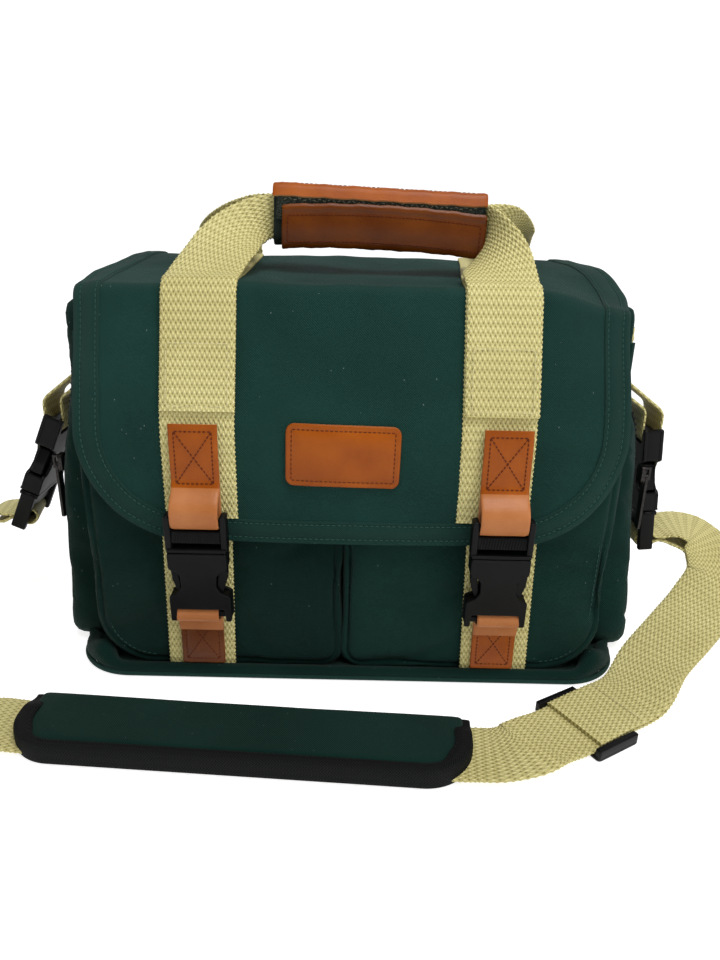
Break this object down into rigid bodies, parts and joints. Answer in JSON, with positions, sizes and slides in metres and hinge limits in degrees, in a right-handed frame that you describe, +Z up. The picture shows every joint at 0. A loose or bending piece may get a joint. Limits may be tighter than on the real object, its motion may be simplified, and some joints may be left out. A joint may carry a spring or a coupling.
{
  "type": "camera bag",
  "caption": "Padded camera bag with a front flap held by side-release buckles, carry handle, end pockets and a shoulder strap with pad.",
  "frame": {"origin": "on the ground under the middle of the main body's width, 58 mm behind its front panel", "axes": "+X to the right seen from the front, -Y towards the front, +Z up"},
  "size_m": [0.5072, 0.2543, 0.269],
  "materials": {
    "green_canvas": "twill weave",
    "green_binding": "woven tape",
    "cream_webbing": "heavy basket weave",
    "tan_leather": "smooth, waxed, stitched",
    "grey_lining": "brushed nylon",
    "stiffener_board": "matt",
    "dark_fabric": "woven",
    "black_binding": "herringbone tape",
    "black_zip": "woven tape with moulded teeth",
    "dark_metal": "black enamel",
    "black_plastic": "satin moulded"
  },
  "bodies": {
    "root": {"main_shell": "green_canvas", "base_board": "stiffener_board", "padded_liner": "grey_lining", "front_pocket_left": "green_canvas", "front_pocket_right": "green_canvas", "pocket_webbing_left": "cream_webbing", "pocket_webbing_right": "cream_webbing", "lower_leather_tab_left": "tan_leather", "lower_leather_tab_right": "tan_leather", "front_buckle_socket_left": "black_plastic", "front_buckle_socket_right": "black_plastic", "side_pocket_left": "green_canvas", "side_pocket_right": "green_canvas", "side_zip_left": "black_zip", "side_zip_right": "black_zip", "side_tab_left": "cream_webbing", "side_tab_right": "cream_webbing", "side_buckle_socket_left": "black_plastic", "side_buckle_socket_right": "black_plastic", "side_buckle_plug_left": "black_plastic", "side_buckle_plug_right": "black_plastic", "shoulder_strap_double_left": "cream_webbing", "shoulder_strap_double_right": "cream_webbing", "shoulder_strap_single": "cream_webbing"},
    "flap": {"flap": "green_canvas", "flap_binding": "green_binding", "leather_patch": "tan_leather", "flap_webbing_left": "cream_webbing", "flap_webbing_right": "cream_webbing", "upper_leather_tab_left": "tan_leather", "upper_leather_tab_right": "tan_leather", "handle_front_loop": "cream_webbing", "handle_rear_loop": "cream_webbing", "front_buckle_plug_left": "black_plastic", "front_buckle_plug_right": "black_plastic"},
    "grip": {"grip_sleeve": "dark_fabric", "grip_leather_rear": "tan_leather", "grip_hook_strip": "dark_fabric"},
    "grip_panel": {"grip_leather_front": "tan_leather"},
    "divider_left": {"divider_left": "grey_lining"},
    "zip_slider_left": {"zip_slider_left": "dark_metal"},
    "zip_pull_left": {"zip_pull_left": "dark_metal"},
    "front_prong_a_left": {"front_buckle_prong_a_left": "black_plastic"},
    "front_prong_b_left": {"front_buckle_prong_b_left": "black_plastic"},
    "side_prong_a_left": {"side_buckle_prong_a_left": "black_plastic"},
    "side_prong_b_left": {"side_buckle_prong_b_left": "black_plastic"},
    "divider_right": {"divider_right": "grey_lining"},
    "zip_slider_right": {"zip_slider_right": "dark_metal"},
    "zip_pull_right": {"zip_pull_right": "dark_metal"},
    "front_prong_a_right": {"front_buckle_prong_a_right": "black_plastic"},
    "front_prong_b_right": {"front_buckle_prong_b_right": "black_plastic"},
    "side_prong_a_right": {"side_buckle_prong_a_right": "black_plastic"},
    "side_prong_b_right": {"side_buckle_prong_b_right": "black_plastic"},
    "strap_slider": {"strap_slider": "black_plastic"},
    "pad": {"shoulder_pad": "green_canvas", "shoulder_pad_binding": "black_binding"}
  },
  "joints": [
    {"name": "flap_hinge", "type": "hinge", "parent": "root", "child": "flap", "pos_m": [0, 0.0755, 0.2125], "axis": [-1, 0, 0], "range_deg": [0, 105]},
    {"name": "handle_lift", "type": "slide", "parent": "flap", "child": "grip", "axis": [0, 0, 1], "range_m": [-0.006, 0.014], "stiffness_N_per_m": 900, "deforming": ["handle_front_loop", "handle_rear_loop"]},
    {"name": "grip_panel_peel", "type": "hinge", "parent": "grip", "child": "grip_panel", "pos_m": [0.012, -0.0178, 0.2345], "axis": [1, 0, 0], "range_deg": [0, 75]},
    {"name": "front_prong_b_left_squeeze", "type": "hinge", "parent": "flap", "child": "front_prong_b_left", "pos_m": [-0.0698, -0.09623, 0.085], "axis": [0, 0.9976, 0.0698], "range_deg": [0, 8], "stiffness_Nm_per_rad": 0.6},
    {"name": "front_prong_a_left_squeeze", "type": "hinge", "parent": "flap", "child": "front_prong_a_left", "pos_m": [-0.0902, -0.09623, 0.085], "axis": [0, 0.9976, 0.0698], "range_deg": [-8, 0], "stiffness_Nm_per_rad": 0.6},
    {"name": "front_prong_b_right_squeeze", "type": "hinge", "parent": "flap", "child": "front_prong_b_right", "pos_m": [0.0902, -0.09623, 0.085], "axis": [0, 0.9976, 0.0698], "range_deg": [0, 8], "stiffness_Nm_per_rad": 0.6},
    {"name": "front_prong_a_right_squeeze", "type": "hinge", "parent": "flap", "child": "front_prong_a_right", "pos_m": [0.0698, -0.09623, 0.085], "axis": [0, 0.9976, 0.0698], "range_deg": [-8, 0], "stiffness_Nm_per_rad": 0.6},
    {"name": "side_prong_b_left_squeeze", "type": "hinge", "parent": "root", "child": "side_prong_b_left", "pos_m": [-0.20088, 0.00875, 0.08635], "axis": [0.9135, 0, -0.4067], "range_deg": [0, 8], "stiffness_Nm_per_rad": 0.6},
    {"name": "side_prong_a_left_squeeze", "type": "hinge", "parent": "root", "child": "side_prong_a_left", "pos_m": [-0.20088, -0.01675, 0.08635], "axis": [0.9135, 0, -0.4067], "range_deg": [-8, 0], "stiffness_Nm_per_rad": 0.6},
    {"name": "side_prong_b_right_squeeze", "type": "hinge", "parent": "root", "child": "side_prong_b_right", "pos_m": [0.18526, -0.01675, 0.08231], "axis": [-0.9962, 0, -0.0872], "range_deg": [0, 8], "stiffness_Nm_per_rad": 0.6},
    {"name": "side_prong_a_right_squeeze", "type": "hinge", "parent": "root", "child": "side_prong_a_right", "pos_m": [0.18526, 0.00875, 0.08231], "axis": [-0.9962, 0, -0.0872], "range_deg": [-8, 0], "stiffness_Nm_per_rad": 0.6},
    {"name": "zip_slide_left", "type": "slide", "parent": "root", "child": "zip_slider_left", "axis": [0, 0, 1], "range_m": [-0.06, 0.065]},
    {"name": "zip_pull_swing_left", "type": "hinge", "parent": "zip_slider_left", "child": "zip_pull_left", "pos_m": [-0.1747, -0.036, 0.1108], "axis": [0, 1, 0], "range_deg": [0, 100]},
    {"name": "divider_left_slide", "type": "slide", "parent": "root", "child": "divider_left", "axis": [1, 0, 0], "range_m": [-0.03, 0.03]},
    {"name": "zip_slide_right", "type": "slide", "parent": "root", "child": "zip_slider_right", "axis": [0, 0, 1], "range_m": [-0.06, 0.065]},
    {"name": "zip_pull_swing_right", "type": "hinge", "parent": "zip_slider_right", "child": "zip_pull_right", "pos_m": [0.1747, -0.036, 0.1108], "axis": [0, -1, 0], "range_deg": [0, 100]},
    {"name": "divider_right_slide", "type": "slide", "parent": "root", "child": "divider_right", "axis": [1, 0, 0], "range_m": [-0.03, 0.03]},
    {"name": "strap_slider_slide", "type": "slide", "parent": "root", "child": "strap_slider", "axis": [-0.8572, -0.515, 0], "range_m": [0, 0.012]},
    {"name": "pad_slide", "type": "slide", "parent": "root", "child": "pad", "axis": [0.9982, -0.0602, 0], "range_m": [-0.01, 0.01]}
  ],
  "couplings": [
    {"joint": "front_prong_a_left_squeeze", "follows": "front_prong_b_left_squeeze", "ratio": -1},
    {"joint": "front_prong_a_right_squeeze", "follows": "front_prong_b_right_squeeze", "ratio": -1},
    {"joint": "side_prong_a_left_squeeze", "follows": "side_prong_b_left_squeeze", "ratio": -1},
    {"joint": "side_prong_a_right_squeeze", "follows": "side_prong_b_right_squeeze", "ratio": -1}
  ]
}
